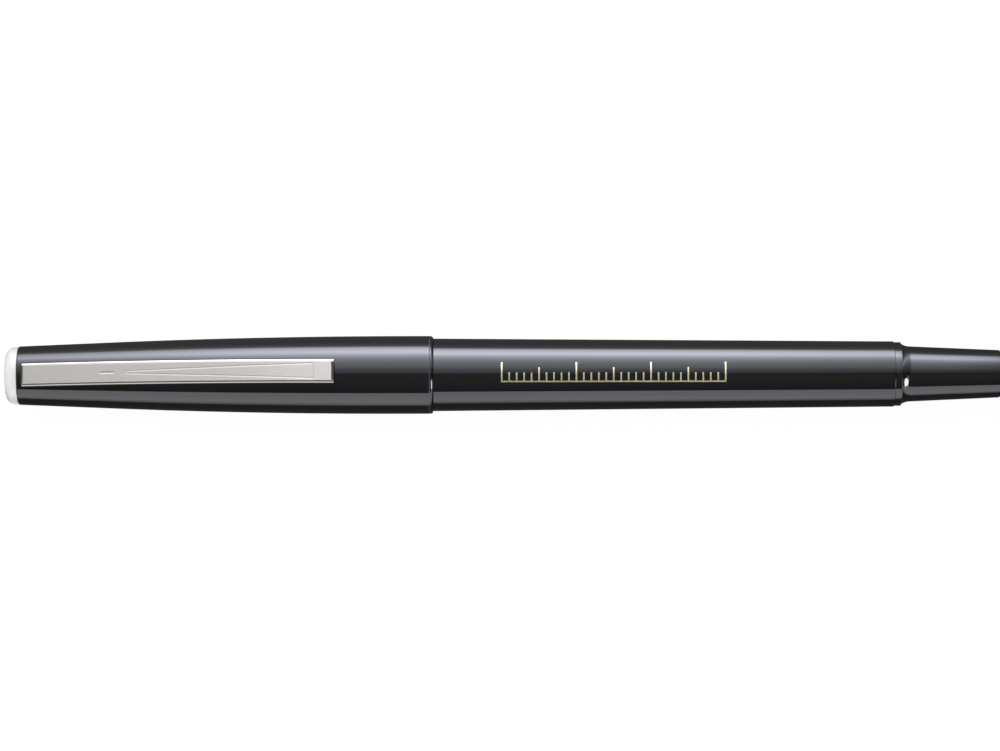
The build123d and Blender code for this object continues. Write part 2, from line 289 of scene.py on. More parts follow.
def uneven_gloss(name, patch, roughness, finish, relief=0):
    """A material whose gloss wanders between two roughnesses, in patches of a real size. A relief raises
    the same patches, and the finish holds the shader's plain values."""
    material = new_material(name)
    place = add_node(material, "ShaderNodeTexCoord", {})
    patches = add_node(
        material,
        "ShaderNodeTexNoise",
        {"Vector": place.outputs["Object"], "Scale": 1 / patch, "Detail": 2},
    )
    gloss = add_node(
        material,
        "ShaderNodeMapRange",
        {"Value": patches.outputs["Fac"], **noise_span, "To Min": roughness[0], "To Max": roughness[1]},
    )
    inputs = {**finish, "Roughness": gloss.outputs["Result"]}
    if relief:
        bumps = add_node(
            material,
            "ShaderNodeBump",
            {"Height": patches.outputs["Fac"], "Strength": 1, "Distance": relief},
        )
        inputs["Normal"] = bumps.outputs["Normal"]
    show(material, add_node(material, "ShaderNodeBsdfPrincipled", inputs))
    return material


# Polystyrene from a spark-eroded mould: an even satin, broken by a grain too fine to feel.
mould_grain = 0.12 * mm
mould_grain_height = 0.003 * mm
satin_black = uneven_gloss(
    "satin_black_polystyrene",
    mould_grain,
    roughness=(0.26, 0.36),
    finish={"Base Color": linear("#131315"), "IOR": 1.55},
    relief=mould_grain_height,
)
coat(section, satin_black)
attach(section, "barrel")
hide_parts("front_section")


# Bonded polyester, soaked: nearly black and dull, with fine strands that run along the rod.
soaked_fibre = new_material("ink_soaked_polyester_fibre")
fibre_width = 0.05 * mm
fibre_run = 3 * mm
fibre_relief = 0.02 * mm
place = add_node(soaked_fibre, "ShaderNodeTexCoord", {})
along = add_node(
    soaked_fibre,
    "ShaderNodeMapping",
    {"Vector": place.outputs["Object"], "Scale": (1 / fibre_run, 1 / fibre_width, 1 / fibre_width)},
)
fibres = add_node(
    soaked_fibre, "ShaderNodeTexNoise", {"Vector": along.outputs["Vector"], "Scale": 1, "Detail": 2}
)
ink = add_node(
    soaked_fibre,
    "ShaderNodeMix",
    {"Factor": fibres.outputs["Fac"], 6: linear("#17171c"), 7: linear("#2c2c33")},
    data_type="RGBA",
)
strands = add_node(
    soaked_fibre,
    "ShaderNodeBump",
    {"Height": fibres.outputs["Fac"], "Strength": 1, "Distance": fibre_relief},
)
fibre = add_node(
    soaked_fibre,
    "ShaderNodeBsdfPrincipled",
    {"Base Color": ink.outputs[2], "Roughness": 0.7, "Normal": strands.outputs["Normal"]},
)
show(soaked_fibre, fibre)
coat(nodes["ink_reservoir"], soaked_fibre)

# Polypropylene film: clear and glossy, with shallow wrinkles.
clear_film = new_material("clear_polypropylene_film")
film_wrinkle = 1.2 * mm
film_wrinkle_height = 0.01 * mm
place = add_node(clear_film, "ShaderNodeTexCoord", {})
wrinkles = add_node(
    clear_film, "ShaderNodeTexNoise", {"Vector": place.outputs["Object"], "Scale": 1 / film_wrinkle}
)
skin = add_node(
    clear_film,
    "ShaderNodeBump",
    {"Height": wrinkles.outputs["Fac"], "Strength": 1, "Distance": film_wrinkle_height},
)
film = add_node(
    clear_film,
    "ShaderNodeBsdfPrincipled",
    {
        "Base Color": linear("#eef0f2"),
        "Roughness": 0.08,
        "IOR": 1.49,
        "Transmission Weight": 0.9,
        "Normal": skin.outputs["Normal"],
    },
)
show(clear_film, film)
coat(nodes["reservoir_film"], clear_film)


# Nib, nib sleeve and nib holder
# A rod of extruded acetal, stained by the ink that it carries, in a drawn stainless tube pressed into
# the section's nose. Behind them a fluted bush keeps the rod straight.
nib_low, nib_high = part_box("nib")
sleeve_low, sleeve_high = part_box("nib_sleeve")
nib_radius = nib_high.y
nib_tip_radius = 0.3 * mm
nib_tip_round = 0.15 * mm
nib_cone_length = 0.5 * mm
nib_shoulder_gap = 0.1 * mm
sleeve_radius = sleeve_high.y
sleeve_inner_radius = 0.61 * mm
sleeve_mouth_radius = 0.5 * mm
sleeve_mouth_round = 0.08 * mm
sleeve_mouth_hole = 0.31 * mm
sleeve_mouth_land = 1.1 * mm
sleeve_mouth_cone = 1.3 * mm
sleeve_land_end = sleeve_low.x + sleeve_mouth_land
nib_shoulder = sleeve_land_end + nib_shoulder_gap
nib_tip_corner = (nib_low.x + nib_tip_round, nib_tip_radius - nib_tip_round)
nib = turn_piece(
    "nib_rod",
    [
        (nib_high.x, nib_radius),
        (nib_shoulder + nib_cone_length, nib_radius),
        (nib_shoulder, nib_tip_radius),
    ]
    + arc(nib_tip_corner, nib_tip_round, 90, 180),
)
smooth_faces(nib)


def mottled_plastic(name, patch, dark, pale, roughness, ior):
    """A plastic whose colour wanders between two, in patches of a real size."""
    material = new_material(name)
    place = add_node(material, "ShaderNodeTexCoord", {})
    patches = add_node(
        material,
        "ShaderNodeTexNoise",
        {"Vector": place.outputs["Object"], "Scale": 1 / patch, "Detail": 2},
    )
    tint = add_node(
        material,
        "ShaderNodeMix",
        {"Factor": patches.outputs["Fac"], 6: linear(dark), 7: linear(pale)},
        data_type="RGBA",
    )
    plastic = add_node(
        material,
        "ShaderNodeBsdfPrincipled",
        {"Base Color": tint.outputs[2], "Roughness": roughness, "IOR": ior},
    )
    show(material, plastic)
    return material


# Extruded acetal, stained by the ink: a dull dark grey, in patches.
stain_patch = 0.3 * mm
stained_acetal = mottled_plastic(
    "ink_stained_acetal", stain_patch, "#1a1a1e", "#34343b", roughness=0.45, ior=1.48
)
coat(nib, stained_acetal)
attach(nib, "barrel")
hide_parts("nib")

sleeve_corner = (sleeve_low.x + sleeve_mouth_round, sleeve_mouth_radius - sleeve_mouth_round)
sleeve = turn_piece(
    "nib_sleeve_tube",
    [(sleeve_low.x, sleeve_mouth_hole)]
    + arc(sleeve_corner, sleeve_mouth_round, 180, 90)
    + [
        (sleeve_low.x + sleeve_mouth_cone, sleeve_radius),
        (sleeve_high.x, sleeve_radius),
        (sleeve_high.x, sleeve_inner_radius),
        (sleeve_land_end + nib_cone_length, sleeve_inner_radius),
        (sleeve_land_end, sleeve_mouth_hole),
    ],
    tube=True,
)
smooth_faces(sleeve)

# Drawn stainless tube: bright, with faint rings left by the turning of its cone.
drawn_steel = new_material("drawn_stainless_tube")
ring_pitch = 0.04 * mm
ring_breadth = 2 * mm
ring_depth = 0.0008 * mm
place = add_node(drawn_steel, "ShaderNodeTexCoord", {})
rings = add_node(
    drawn_steel,
    "ShaderNodeMapping",
    {"Vector": place.outputs["Object"], "Scale": (1 / ring_pitch, 1 / ring_breadth, 1 / ring_breadth)},
)
turning = add_node(drawn_steel, "ShaderNodeTexNoise", {"Vector": rings.outputs["Vector"], "Scale": 1})
bright = add_node(
    drawn_steel,
    "ShaderNodeMapRange",
    {"Value": turning.outputs["Fac"], **noise_span, "To Min": 0.14, "To Max": 0.24},
)
rubbed = add_node(
    drawn_steel,
    "ShaderNodeBump",
    {"Height": turning.outputs["Fac"], "Strength": 1, "Distance": ring_depth},
)
steel = add_node(
    drawn_steel,
    "ShaderNodeBsdfPrincipled",
    {
        "Base Color": linear("#cfccc8"),
        "Metallic": 1,
        "Roughness": bright.outputs["Result"],
        "Normal": rubbed.outputs["Normal"],
    },
)
show(drawn_steel, steel)
coat(sleeve, drawn_steel)
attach(sleeve, "barrel")
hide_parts("nib_sleeve")

# Natural polypropylene, as moulded: milky, with a soft shine that wanders a little. The cap's liner
# is of the same stuff.
milky_patch = 1.5 * mm
milky_depth = 0.6 * mm
natural_plastic = uneven_gloss(
    "natural_polypropylene",
    milky_patch,
    roughness=(0.38, 0.5),
    finish={
        "Base Color": linear("#e4e3dd"),
        "IOR": 1.49,
        "Subsurface Weight": 0.4,
        "Subsurface Radius": (1, 0.9, 0.8),
        "Subsurface Scale": milky_depth,
    },
)
coat(nodes["nib_holder"], natural_plastic)


# Tail plug
# A polished black moulding pressed into the barrel's rear: a short flange, a hollow fillet and a
# tapered stub on which the cap can be posted. Its front end is cored out.
tail_low, tail_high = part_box("tail_plug")
tail_flange_radius = tail_high.y
tail_flange_round = 0.05 * mm
tail_flange_length = 0.96 * mm
tail_fillet_radius = 2.1 * mm
tail_fillet_turn = 35
fine_round_steps = 12
tail_root_radius = 3.74 * mm
tail_end_radius = 3.23 * mm
tail_end_round = 0.5 * mm
tail_stub_length = 12.45 * mm
tail_spigot_radius = 3.29 * mm
tail_spigot_chamfer = 0.3 * mm
tail_bore_mouth_radius = 2.4 * mm
tail_bore_end_radius = 2 * mm
tail_end_wall = 1.8 * mm
tail_gate_radius = 0.7 * mm
tail_gate_depth = 0.08 * mm
tail_taper = math.degrees(math.atan2(tail_root_radius - tail_end_radius, tail_stub_length))
tail_root = tail_high.x - tail_stub_length
tail_flange_rear = barrel_high.x + tail_flange_length
fillet_centre = (
    tail_root + tail_fillet_radius * math.sin(math.radians(tail_taper)),
    tail_root_radius + tail_fillet_radius * math.cos(math.radians(tail_taper)),
)
tail_fillet = arc(
    fillet_centre,
    tail_fillet_radius,
    270 - tail_taper - tail_fillet_turn,
    270 - tail_taper,
    steps=fine_round_steps,
)
flange_front_corner = (barrel_high.x + tail_flange_round, tail_flange_radius - tail_flange_round)
flange_rear_corner = (tail_flange_rear - tail_flange_round, tail_flange_radius - tail_flange_round)
tail_end_corner = (tail_high.x - tail_end_round, tail_end_radius - tail_end_round)
tail = turn_piece(
    "tail_plug_moulding",
    [
        (tail_high.x - tail_end_wall, tail_bore_end_radius),
        (tail_low.x, tail_bore_mouth_radius),
        (tail_low.x, tail_spigot_radius - tail_spigot_chamfer),
        (tail_low.x + tail_spigot_chamfer, tail_spigot_radius),
        (barrel_high.x, tail_spigot_radius),
    ]
    + arc(flange_front_corner, tail_flange_round, 180, 90)
    + arc(flange_rear_corner, tail_flange_round, 90, 0)
    + tail_fillet
    + arc(tail_end_corner, tail_end_round, 90 - tail_taper, 0)
    + [
        (tail_high.x, tail_gate_radius),
        (tail_high.x - tail_gate_depth, tail_gate_radius - tail_gate_depth),
    ],
)
smooth_faces(tail)
coat(tail, polished_black)
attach(tail, "barrel")
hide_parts("tail_plug")


# Foil scale
# A plain graduated scale, hot-stamped along the barrel in pale gold foil: a base line with a stroke
# at every millimetre, a longer one at each fifth and the longest at each tenth. A row of strokes is
# given by its spacing and its two ends, in millimetres.
scale_start = -0.3 * mm
scale_length = 30 * mm
scale_base = -1.15 * mm
scale_rows = [(1, 0, 1.2), (5, 1.2, 1.9), (10, 1.9, 2.6)]
stroke_width = 0.2 * mm
base_line_width = 0.18 * mm
foil_thickness = 0.006 * mm
foil_bite = 0.002 * mm
foil_facets = 14
over_barrel = axis_z + 2 * barrel_front_radius


def foil_patch(middle_x, middle_y, size_x, size_y):
    """A flat strip of foil over the barrel, fine enough across to follow its curve."""
    bpy.ops.object.select_all(action="DESELECT")
    bpy.ops.mesh.primitive_grid_add(
        x_subdivisions=1, y_subdivisions=foil_facets, size=1, location=(middle_x, middle_y, over_barrel)
    )
    patch = bpy.context.object
    patch.scale = (size_x, size_y, 1)
    bpy.ops.object.transform_apply(location=True, rotation=True, scale=True)
    return patch


foil_parts = [
    foil_patch(scale_start + scale_length / 2, scale_base, scale_length + stroke_width, base_line_width)
]
for spacing, low, high in scale_rows:
    row = foil_patch(scale_start, scale_base + (low + high) / 2 * mm, stroke_width, (high - low) * mm)
    apply_modifier(
        row,
        "ARRAY",
        count=round(scale_length / (spacing * mm)) + 1,
        use_relative_offset=False,
        use_constant_offset=True,
        constant_offset_displace=(spacing * mm, 0, 0),
    )
    foil_parts.append(row)
bpy.ops.object.select_all(action="DESELECT")
for strip in foil_parts:
    strip.select_set(True)
foil = foil_parts[0]
bpy.context.view_layer.objects.active = foil
bpy.ops.object.join()
foil.name = "foil_scale"
apply_modifier(
    foil,
    "SHRINKWRAP",
    target=barrel,
    wrap_method="PROJECT",
    use_project_z=True,
    use_positive_direction=False,
    use_negative_direction=True,
    offset=foil_thickness,
)
apply_modifier(foil, "SOLIDIFY", thickness=foil_thickness + foil_bite, offset=-1)
smooth_faces(foil)

# Stamping foil: a thin metal film under a gold lacquer, slightly crinkled where the heat pressed it on.
foil_crinkle = 0.12 * mm
foil_crinkle_height = 0.002 * mm
gold_foil = uneven_gloss(
    "pale_gold_stamping_foil",
    foil_crinkle,
    roughness=(0.34, 0.46),
    finish={"Base Color": linear("#dbd3a2"), "Metallic": 1},
    relief=foil_crinkle_height,
)
coat(foil, gold_foil)
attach(foil, "barrel")


# Cap liner
# A soft cup of natural polypropylene, pushed into the cap's end, that closes round the section's nose
# and keeps the nib from drying.
coat(nodes["inner_cap"], natural_plastic)


# Cap shell
# The cap's black polystyrene moulding: straight at the rim, then drawn in by a long curve to a cone.
# A fine crease runs round behind the rim, and a slot near the end takes the clip's leg.
cap_low, cap_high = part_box("cap_shell")
cap_length = cap_high.x - cap_low.x
cap_rim_radius = cap_high.y
cap_end_radius = 3.95 * mm
cap_straight_run = 4.5 * mm
cap_corner_run = 23.9 * mm
cap_rim_round = 0.45 * mm
cap_end_chamfer = 0.15 * mm
cap_crease_run = 0.5 * mm
cap_crease_width = 0.12 * mm
cap_crease_depth = 0.03 * mm
cap_mouth_radius = 3.85 * mm
cap_mouth_length = 12 * mm
cap_mouth_chamfer = 0.3 * mm
cap_bore_end_radius = 3.1 * mm
cap_plug_bore_radius = 2.61 * mm
cap_end_wall = 4.4 * mm
cap_curve_rings = 36
cap_slope = (cap_rim_radius - cap_end_radius) / (cap_length - cap_corner_run)


def cap_radius(station):
    """The cap's outer radius at a station along the pen."""
    run = cap_high.x - station - cap_straight_run
    half_curve = cap_corner_run - cap_straight_run
    if run <= 0:
        return cap_rim_radius
    if run <= 2 * half_curve:
        return cap_rim_radius - cap_slope * run**2 / (4 * half_curve)
    return cap_rim_radius - cap_slope * (run - half_curve)


def cut_box(piece, middle, size):
    """Cuts a box out of a piece, given the box's middle and its three lengths."""
    bpy.ops.object.select_all(action="DESELECT")
    bpy.ops.mesh.primitive_cube_add(size=1, location=middle)
    cutter = bpy.context.object
    cutter.scale = size
    apply_modifier(piece, "BOOLEAN", operation="DIFFERENCE", solver="EXACT", object=cutter)
    bpy.data.objects.remove(cutter)


crease = cap_high.x - cap_crease_run
curve_start = cap_high.x - cap_straight_run
curve_end = cap_low.x + cap_end_chamfer
curve_stations = [
    curve_start + (curve_end - curve_start) * ring / cap_curve_rings
    for ring in range(cap_curve_rings + 1)
]
cap = turn_piece(
    "cap_moulding",
    [(cap_high.x, cap_mouth_radius + cap_mouth_chamfer)]
    + arc((cap_high.x - cap_rim_round, cap_rim_radius - cap_rim_round), cap_rim_round, 0, 90)
    + [
        (crease + cap_crease_width / 2, cap_rim_radius),
        (crease, cap_rim_radius - cap_crease_depth),
        (crease - cap_crease_width / 2, cap_rim_radius),
    ]
    + [(station, cap_radius(station)) for station in curve_stations]
    + [
        (cap_low.x, cap_end_radius - cap_end_chamfer),
        (cap_low.x, cap_plug_bore_radius),
        (cap_low.x + cap_end_wall, cap_plug_bore_radius),
        (cap_low.x + cap_end_wall, cap_bore_end_radius),
        (cap_high.x - cap_mouth_length, cap_mouth_radius),
        (cap_high.x - cap_mouth_chamfer, cap_mouth_radius),
    ],
    tube=True,
)
clip_low, clip_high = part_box("pocket_clip")
clip_leg_width = 2.4 * mm
clip_leg_room = 0.35 * mm
slot_gap = 0.15 * mm
slot_length = clip_leg_room + 2 * slot_gap
slot_width = clip_leg_width + 2 * slot_gap
slot_height = 2 * cap_end_radius
slot_middle = (clip_low.x - slot_gap + slot_length / 2, 0, axis_z + slot_height / 2)
cut_box(cap, slot_middle, (slot_length, slot_width, slot_height))
smooth_faces(cap)
coat(cap, polished_black)

# The crease is coloured paler than the rest of the cap, in patches, and is dull.
crease_patch = 0.4 * mm
pale_crease = mottled_plastic(
    "pale_crease_polystyrene", crease_patch, "#1c1c1f", "#4a4a4e", roughness=0.4, ior=1.55
)
cap.data.materials.append(pale_crease)
for face in cap.data.polygons:
    radius = math.hypot(face.center.y, face.center.z - axis_z)
    in_crease = abs(face.center.x - crease) < cap_crease_width / 2
    if in_crease and radius > cap_rim_radius - cap_crease_depth:
        face.material_index = 1
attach(cap, "cap")
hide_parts("cap_shell")


# Pocket clip
# A strip of stainless spring steel, blanked and folded into a channel: the face, two side flanges, a
# lip at the free end, and at the root a leg whose foot the end plug traps. Plain lines are stamped
# in its face.
clip_sheet = 0.33 * mm
clip_width = 3.36 * mm
clip_root_share = 0.965
clip_root_rise = 1 * mm
clip_tip_rise = 1.15 * mm
clip_side_bend = 0.46 * mm
clip_root_bend = 0.33 * mm
clip_tip_bend = 0.55 * mm
clip_flange_depth = 0.8 * mm
clip_ear_setback = 0.12 * mm
clip_lip_gap = 0.12 * mm
clip_notch = 0.06 * mm
clip_skirt = 0.75 * mm
clip_foot_height = 1.25 * mm
clip_foot_reach = 2.175 * mm
clip_cut_edge = 0.03 * mm
clip_cut_edge_steps = 2
clip_cut_edge_turn = math.radians(50)
clip_bend_steps = 48
clip_stations = 20
clip_root_set = -0.138 * mm
clip_bow = 0.615 * mm
clip_bow_turn = 1.66
clip_length = clip_high.x - clip_low.x
clip_root_z = axis_z + cap_radius(clip_low.x) + clip_root_rise
clip_tip_z = axis_z + cap_radius(clip_high.x) + clip_tip_rise
clip_slope = math.atan2(clip_tip_z - clip_root_z, clip_length)
clip_flat = clip_width / 2 - clip_side_bend
clip_along = (math.cos(clip_slope), 0, math.sin(clip_slope))
clip_up = (-math.sin(clip_slope), 0, math.cos(clip_slope))
clip_down = (0, 0, -1)
clip_face_start = clip_low.x + clip_root_bend * (1 + clip_up[0])
clip_face_end = clip_high.x - clip_tip_bend * (1 - clip_up[0])
near = 0.01 * mm


def face_point(station, across=0, above=0):
    """A point over the clip's outer face: along the pen, across the clip and square off the face."""
    height = clip_root_z + (station - clip_low.x) * math.tan(clip_slope)
    return (station + above * clip_up[0], across, height + above * clip_up[2])


def select_none(kind):
    """Leaves all edges or faces unselected, to be selected in code."""
    bpy.ops.object.mode_set(mode="EDIT")
    bpy.ops.mesh.select_mode(type=kind)
    bpy.ops.mesh.select_all(action="DESELECT")
    bpy.ops.object.mode_set(mode="OBJECT")


def select_edges(piece, wanted):
    """Selects the edges whose two ends both pass a test of their place."""
    select_none("EDGE")
    points = piece.data.vertices
    for edge in piece.data.edges:
        edge.select = all(wanted(points[end].co) for end in edge.vertices)
    bpy.ops.object.mode_set(mode="EDIT")


def fold(axis, centre, turn):
    """Bends the sheet on from the selected edges, round an axis through a centre. Spin counts turns
    the other way."""
    bpy.ops.mesh.spin(steps=clip_bend_steps, angle=-turn, center=centre, axis=axis)


def draw_on(direction, length):
    """Carries the sheet on from the selected edges, straight in one direction."""
    step = [part * length for part in direction]
    bpy.ops.mesh.extrude_region_move(TRANSFORM_OT_translate={"value": step})


bpy.ops.object.select_all(action="DESELECT")
bpy.ops.mesh.primitive_grid_add(
    x_subdivisions=clip_stations,
    y_subdivisions=1,
    size=1,
    location=face_point((clip_face_start + clip_face_end) / 2),
    rotation=(0, -clip_slope, 0),
)
clip = bpy.context.object
clip.name = "pocket_clip_strip"
clip.scale = ((clip_face_end - clip_face_start) / clip_along[0], 2 * clip_flat, 1)
bpy.ops.object.transform_apply(location=True, rotation=True, scale=True)

# Stamped lines: a short dash, then a long narrow wedge closed at its wide end. The flat face is scored
# along each line's middle and both its edges, and the middle is pressed down.
stamp_half = 0.135 * mm
stamp_depth = 0.012 * mm
end_line_half = 0.03 * mm
end_line_depth = 0.007 * mm
dash_half = 0.2 * mm
dash_depth = 0.022 * mm
dash_start = 10.8 * mm
dash_end = 12.5 * mm
wedge_start = 14 * mm
wedge_end = 39.2 * mm
wedge_tip_half = 0.15 * mm
wedge_end_half = 1 * mm
wedge_side_end = wedge_end - end_line_half
score_gap = 0.0001 * mm


def score(low_run, high_run, start, end):
    """Scores the face along the line through two points, between two distances from the root."""
    select_none("FACE")
    for face in clip.data.polygons:
        face.select = low_run < face.center.x - clip_low.x < high_run
    bpy.ops.object.mode_set(mode="EDIT")
    bpy.ops.mesh.bisect(
        plane_co=face_point(clip_low.x + start[0], start[1]),
        plane_no=(start[1] - end[1], end[0] - start[0], 0),
        threshold=score_gap,
    )
    bpy.ops.object.mode_set(mode="OBJECT")


def press(start, end, depth):
    """Presses down the points on the straight line between two scored points."""
    line = math.dist(start, end)
    for point in clip.data.vertices:
        place = (point.co.x - clip_low.x, point.co.y)
        if math.dist(start, place) + math.dist(place, end) < line + score_gap:
            point.co.z -= depth


for station in (
    dash_start - dash_half,
    dash_start,
    dash_end,
    dash_end + dash_half,
    wedge_start - stamp_half,
    wedge_start,
    wedge_side_end,
    wedge_end,
    wedge_end + end_line_half,
):
    score(0, clip_length, (station, 0), (station, 1))
for across in (-dash_half, 0, dash_half):
    score(dash_start - dash_half, dash_end + dash_half, (dash_start, across), (dash_end, across))
press((dash_start, 0), (dash_end, 0), dash_depth)
for side in (-1, 1):
    for across in (-stamp_half, 0, stamp_half):
        score(
            wedge_start - stamp_half,
            wedge_side_end,
            (wedge_start, side * wedge_tip_half + across),
            (wedge_side_end, side * wedge_end_half + across),
        )
    press((wedge_start, side * wedge_tip_half), (wedge_side_end, side * wedge_end_half), stamp_depth)
    score(
        wedge_side_end,
        wedge_end + end_line_half,
        (wedge_start, side * wedge_end_half),
        (wedge_end, side * wedge_end_half),
    )
press((wedge_end, -wedge_end_half), (wedge_end, wedge_end_half), end_line_depth)

# Lip at the free end
tip_centre = face_point(clip_face_end, above=-clip_tip_bend)
select_edges(clip, lambda point: point.x > clip_face_end - near)
fold((0, 1, 0), tip_centre, quarter_turn + clip_slope)
draw_on(clip_down, tip_centre[2] - axis_z - cap_radius(clip_high.x) - clip_lip_gap)

# Skirt, leg and foot at the root
root_centre = face_point(clip_face_start, above=-clip_root_bend)
foot_bend_z = axis_z + clip_foot_height + clip_root_bend
skirt_end_z = clip_root_z - clip_skirt
select_edges(clip, lambda point: point.x < clip_face_start + near)
fold((0, 1, 0), root_centre, clip_slope - quarter_turn)
draw_on(clip_down, root_centre[2] - skirt_end_z)
leg_share = clip_leg_width / 2 / clip_flat
bpy.ops.transform.resize(value=(1, leg_share, 1), center_override=(clip_low.x, 0, skirt_end_z))
draw_on(clip_down, skirt_end_z - foot_bend_z)
fold((0, 1, 0), (clip_low.x + clip_root_bend, 0, foot_bend_z), -quarter_turn)
draw_on((1, 0, 0), clip_foot_reach - clip_root_bend)

# Side flanges, carried past the face's ends as ears beside the bends
for side in (-1, 1):
    flank = side * clip_flat
    select_edges(
        clip,
        lambda point: abs(point.y - flank) < near
        and point.z > face_point(point.x)[2] - near
        and clip_face_start - near < point.x < clip_face_end + near,
    )
    fold(clip_along, face_point(clip_face_start, flank, -clip_side_bend), -side * quarter_turn)
    draw_on(clip_up, clip_side_bend - clip_flange_depth)
    for end, reach in ((clip_face_end, clip_tip_bend), (clip_face_start, -clip_root_bend)):
        select_edges(
            clip,
            lambda point: side * point.y > clip_flat - near
            and abs(point.x - end) < clip_ear_setback / 2
            and (side * point.y > clip_flat + near / 2 or abs(point.x - end) < near / 2),
        )
        draw_on(clip_along, reach - math.copysign(clip_ear_setback, reach))

# The end bends stand a little clear of the ears, as a blank is notched at its corners.
select_edges(
    clip,
    lambda point: abs(point.y) < clip_flat + near
    and (point.x > clip_face_end + near or point.x < clip_face_start - near)
    and point.z < face_point(point.x)[2] - near,
)
notch_share = (clip_flat - clip_notch) / clip_flat
bpy.ops.transform.resize(value=(1, notch_share, 1), center_override=(clip_low.x, 0, clip_root_z))
bpy.ops.mesh.select_all(action="SELECT")
bpy.ops.mesh.normals_make_consistent(inside=False)
bpy.ops.object.mode_set(mode="OBJECT")
face_up = max(clip.data.polygons, key=lambda polygon: polygon.area).normal.z
if face_up < 0:
    clip.data.flip_normals()

# The strip is blanked narrower at the root.
for point in clip.data.vertices:
    run_share = (point.co.x - clip_low.x) / clip_length
    point.co.y *= clip_root_share + (1 - clip_root_share) * run_share
apply_modifier(clip, "SOLIDIFY", thickness=clip_sheet, offset=-1, use_even_offset=True)
apply_modifier(
    clip,
    "BEVEL",
    width=clip_cut_edge,
    segments=clip_cut_edge_steps,
    limit_method="ANGLE",
    angle_limit=clip_cut_edge_turn,
)

# The strip is bowed a little sideways, so its free length lies off the cap's middle. The bends are
# stepped so finely that they need no smooth shading, and the stamped lines stay crisp.
for point in clip.data.vertices:
    run_share = (point.co.x - clip_low.x) / clip_length
    point.co.y += clip_root_set + clip_bow * run_share * (clip_bow_turn - run_share)

# Stainless strip, ground along its length: a soft satin grey with hairlines that run with the clip.
# A painted sheen brightens its free end, and the bending tool burnished the bends to a mirror.
satin_strip = new_material("satin_stainless_strip")
hairline_width = 0.03 * mm
hairline_length = 6 * mm
hairline_depth = 0.0002 * mm
sheen_start = 27.7 * mm
sheen_run = 12.8 * mm
place = add_node(satin_strip, "ShaderNodeTexCoord", {})
grain = add_node(
    satin_strip,
    "ShaderNodeMapping",
    {
        "Vector": place.outputs["Object"],
        "Scale": (1 / hairline_length, 1 / hairline_width, 1 / hairline_width),
    },
)
hairlines = add_node(
    satin_strip, "ShaderNodeTexNoise", {"Vector": grain.outputs["Vector"], "Scale": 1, "Detail": 2}
)
satin = add_node(
    satin_strip,
    "ShaderNodeMapRange",
    {"Value": hairlines.outputs["Fac"], **noise_span, "To Min": 0.36, "To Max": 0.4},
)
scratches = add_node(
    satin_strip,
    "ShaderNodeBump",
    {"Height": hairlines.outputs["Fac"], "Strength": 1, "Distance": hairline_depth},
)
split = add_node(satin_strip, "ShaderNodeSeparateXYZ", {"Vector": place.outputs["Object"]})
# Painted sheen: the strip's colour is painted brighter towards its free end.
sheen_place = add_node(
    satin_strip,
    "ShaderNodeMapRange",
    {
        "Value": split.outputs["X"],
        "From Min": clip_low.x + sheen_start,
        "From Max": clip_low.x + sheen_start + sheen_run,
    },
)
painted_sheen = add_node(satin_strip, "ShaderNodeValToRGB", {"Fac": sheen_place.outputs["Result"]})
painted_sheen.color_ramp.elements[0].color = linear("#e1dbce")
painted_sheen.color_ramp.elements[1].color = linear("#f0e9dd")
steel = add_node(
    satin_strip,
    "ShaderNodeBsdfPrincipled",
    {
        "Base Color": painted_sheen.outputs["Color"],
        "Metallic": 1,
        "Roughness": satin.outputs["Result"],
        "Normal": scratches.outputs["Normal"],
    },
)
show(satin_strip, steel)

# The bends' steel is painted darker than the face's, a painted shade that dims what they reflect; their
# mirror gloss is real.
burnish_patch = 0.8 * mm
burnished_shaded_bend = uneven_gloss(
    "burnished_shaded_stainless_bend",
    burnish_patch,
    roughness=(0.1, 0.15),
    finish={"Base Color": linear("#95918b"), "Metallic": 1},
)
coat(clip, burnished_shaded_bend)
clip.data.materials.append(satin_strip)
flat_enough = math.cos(math.radians(12))
for face in clip.data.polygons:
    squareness = face.normal.x * clip_up[0] + face.normal.z * clip_up[2]
    if squareness > flat_enough:
        face.material_index = 1
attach(clip, "clip")
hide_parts("pocket_clip")


# Cap end plug
# A white polystyrene moulding pressed into the cap's closed end: a rounded head outside, and a stem
# with a keyway that traps the clip's foot inside.
plug_low, plug_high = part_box("cap_end_plug")
plug_head_radius = plug_high.y
plug_head_round = 1.2 * mm
plug_stem_radius = 2.6 * mm
plug_keyway_floor = 1 * mm
plug_head_corner = (plug_low.x + plug_head_round, plug_head_radius - plug_head_round)
plug = turn_piece(
    "cap_end_plug_moulding",
    [
        (plug_high.x, plug_stem_radius),
        (cap_low.x, plug_stem_radius),
        (cap_low.x, plug_head_radius),
    ]
    + arc(plug_head_corner, plug_head_round, 90, 180, steps=fine_round_steps),
)
keyway_start = clip_low.x - slot_gap
keyway_length = 2 * (plug_high.x - keyway_start)
keyway_height = 2 * plug_stem_radius
keyway_z = axis_z + plug_keyway_floor + keyway_height / 2
keyway_middle = (keyway_start + keyway_length / 2, 0, keyway_z)
cut_box(plug, keyway_middle, (keyway_length, slot_width, keyway_height))
smooth_faces(plug)

# White polystyrene: light goes a little way in and softens the edges, and the skin is glossy with
# a faint unevenness.
white_depth = 0.5 * mm
white_patch = 1.5 * mm
white_plastic = uneven_gloss(
    "white_polystyrene",
    white_patch,
    roughness=(0.2, 0.32),
    finish={
        "Base Color": linear("#f4f4f2"),
        "IOR": 1.55,
        "Subsurface Weight": 0.3,
        "Subsurface Radius": (1, 0.9, 0.8),
        "Subsurface Scale": white_depth,
    },
)
coat(plug, white_plastic)
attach(plug, "cap")
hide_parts("cap_end_plug")


